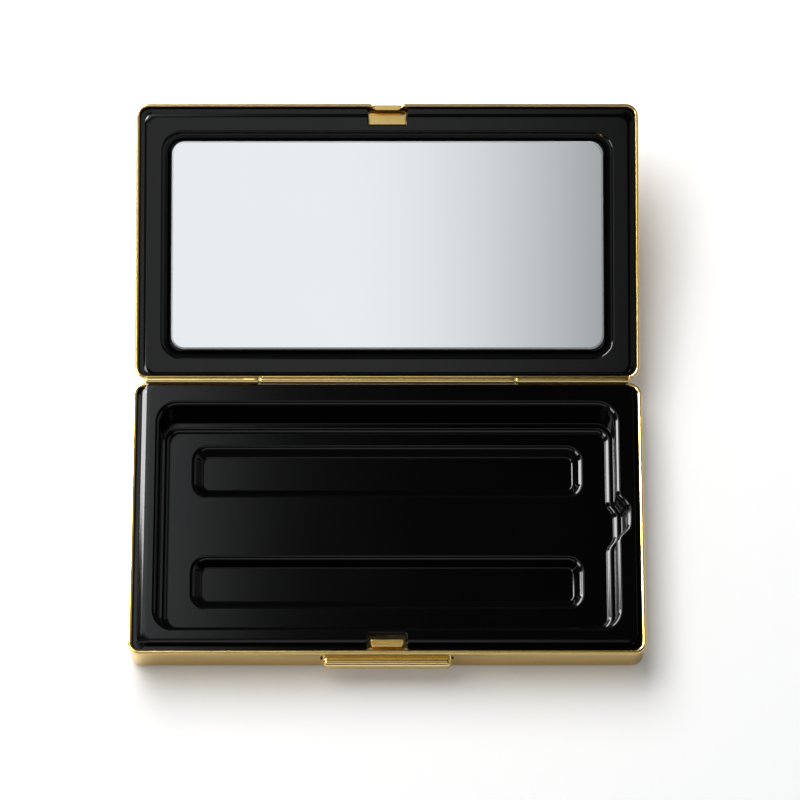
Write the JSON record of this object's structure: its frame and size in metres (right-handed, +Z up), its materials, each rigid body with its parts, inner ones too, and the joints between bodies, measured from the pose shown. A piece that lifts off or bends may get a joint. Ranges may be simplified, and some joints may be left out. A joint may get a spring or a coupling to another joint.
{
  "type": "makeup compact",
  "caption": "Slim rectangular metal makeup compact with mirror lid, stepped tray with long pockets, barrel hinge and a sprung thumb-bar latch.",
  "frame": {"origin": "centre of the base's flat underside, with the lid standing open", "axes": "+X along the long side to the right as seen from the thumb bar, +Y from the thumb bar to the hinge, +Z up"},
  "size_m": [0.12, 0.1338, 0.0293],
  "materials": {
    "gold_metal": "polished, gold plated",
    "black_liner": "gloss",
    "mirror_glass": "mirror",
    "steel": "plain",
    "foam_tape": "matt foam"
  },
  "bodies": {
    "base": {"base_shell": "gold_metal", "base_liner": "black_liner", "base_pad_front": "foam_tape", "base_pad_rear": "foam_tape", "hinge_knuckle_left": "gold_metal", "hinge_knuckle_right": "gold_metal", "hinge_pin": "steel", "latch_bracket": "steel", "spring_post_left": "steel", "spring_post_right": "steel", "latch_spring_left": "steel", "latch_spring_right": "steel"},
    "lid": {"lid_shell": "gold_metal", "lid_liner": "black_liner", "mirror": "mirror_glass", "mirror_tape": "foam_tape", "lid_pad_front": "foam_tape", "lid_pad_rear": "foam_tape", "hinge_knuckle_lid": "gold_metal", "latch_strike": "gold_metal"},
    "latch": {"thumb_bar": "gold_metal", "latch_hook": "gold_metal", "hook_rivet_left": "steel", "hook_rivet_right": "steel"}
  },
  "joints": [
    {"name": "lid_hinge", "type": "hinge", "parent": "base", "child": "lid", "pos_m": [0, 0.03345, 0.01265], "axis": [1, 0, 0], "range_deg": [0, 167]},
    {"name": "latch_press", "type": "slide", "parent": "base", "child": "latch", "axis": [0, 1, 0], "range_m": [0, 0.0009], "stiffness_N_per_m": 1500, "springref_m": -0.0006, "deforming": ["latch_spring_left", "latch_spring_right"]}
  ]
}
